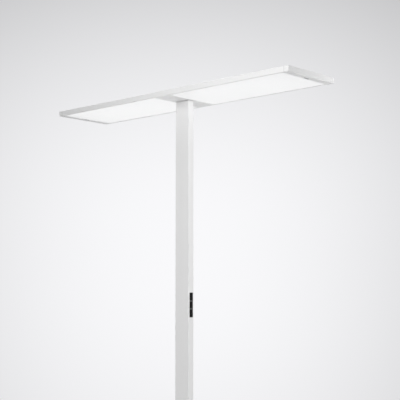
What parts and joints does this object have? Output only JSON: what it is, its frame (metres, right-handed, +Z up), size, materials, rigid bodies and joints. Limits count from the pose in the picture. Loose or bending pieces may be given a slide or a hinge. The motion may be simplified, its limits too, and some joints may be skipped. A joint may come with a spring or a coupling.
{
  "type": "office floor lamp",
  "caption": "T-shaped office floor lamp: slim rectangular column on a flat base plate, flat twin-panel lit head, push keys in the column, edge-lit panels below and uplight above.",
  "frame": {"origin": "on the floor under the middle of the base and of the head", "axes": "+Z up, X along the lit head with the keys facing +X, +Y towards the rear face with the cord gland"},
  "size_m": [1.2, 0.34, 1.95],
  "materials": {
    "base_coat": "fine-textured white powder coat on steel",
    "column_coat": "extruded, with a smooth white powder coat",
    "head_coat": "with a smooth white powder coat",
    "cap_coat": "cast, with a white powder coat",
    "neck_coat": "cast, with a white powder coat",
    "opal_panel": "opal acrylic, satin",
    "clear_acrylic": "clear acrylic",
    "satin_acrylic": "satin clear acrylic",
    "reflector_white": "matt white film",
    "raw_aluminium": "mill finish",
    "zinc_steel": "zinc-plated",
    "grey_plastic": "moulded, fine grain",
    "driver_white": "moulded, white",
    "black_plastic": "moulded, fine grain",
    "key_black": "moulded, soft-touch black",
    "status_lens": "smoked light pipe",
    "circuit_board": "solder-masked laminate",
    "led_board": "white solder mask",
    "lead_sheath": "smooth sheath",
    "sensor_grey": "smoked grey lens",
    "felt": "pressed felt"
  },
  "bodies": {
    "stand": {"base_plate": "base_coat", "base_glides": "felt", "foot_screws": "zinc_steel", "column_profile": "column_coat", "column_foot": "raw_aluminium", "column_screws": "zinc_steel", "cord_gland": "grey_plastic", "gland_nut": "grey_plastic", "driver_carrier": "raw_aluminium", "driver_case": "driver_white", "driver_terminals": "grey_plastic", "head_lead": "lead_sheath", "switch_housing": "black_plastic", "switch_board": "circuit_board", "switch_lead": "lead_sheath", "neck": "neck_coat", "head_carrier": "raw_aluminium", "neck_screws": "zinc_steel", "centre_bridge": "head_coat", "rail_front": "head_coat", "rail_rear": "head_coat", "end_cap_right": "cap_coat", "end_cap_left": "cap_coat", "corner_keys": "zinc_steel", "top_cover": "head_coat", "terminal_block": "grey_plastic", "diffuser_right": "opal_panel", "light_guide_right": "clear_acrylic", "reflector_right": "reflector_white", "back_plate_right": "raw_aluminium", "led_strips_right": "led_board", "uplight_boards_right": "led_board", "uplight_window_right": "satin_acrylic", "sensor_lens_right": "sensor_grey", "sensor_board_right": "circuit_board", "sensor_lead_right": "lead_sheath", "diffuser_left": "opal_panel", "light_guide_left": "clear_acrylic", "reflector_left": "reflector_white", "back_plate_left": "raw_aluminium", "led_strips_left": "led_board", "uplight_boards_left": "led_board", "uplight_window_left": "satin_acrylic", "sensor_lens_left": "sensor_grey", "sensor_board_left": "circuit_board", "sensor_lead_left": "lead_sheath"},
    "key_up": {"key_up": "key_black"},
    "key_mode": {"key_mode": "key_black", "status_light": "status_lens"},
    "key_down": {"key_down": "key_black"}
  },
  "joints": [
    {"name": "key_up_press", "type": "slide", "parent": "stand", "child": "key_up", "axis": [-1, 0, 0], "range_m": [0, 0.0008], "stiffness_N_per_m": 1500},
    {"name": "key_mode_press", "type": "slide", "parent": "stand", "child": "key_mode", "axis": [-1, 0, 0], "range_m": [0, 0.0008], "stiffness_N_per_m": 1500},
    {"name": "key_down_press", "type": "slide", "parent": "stand", "child": "key_down", "axis": [-1, 0, 0], "range_m": [0, 0.0008], "stiffness_N_per_m": 1500}
  ]
}
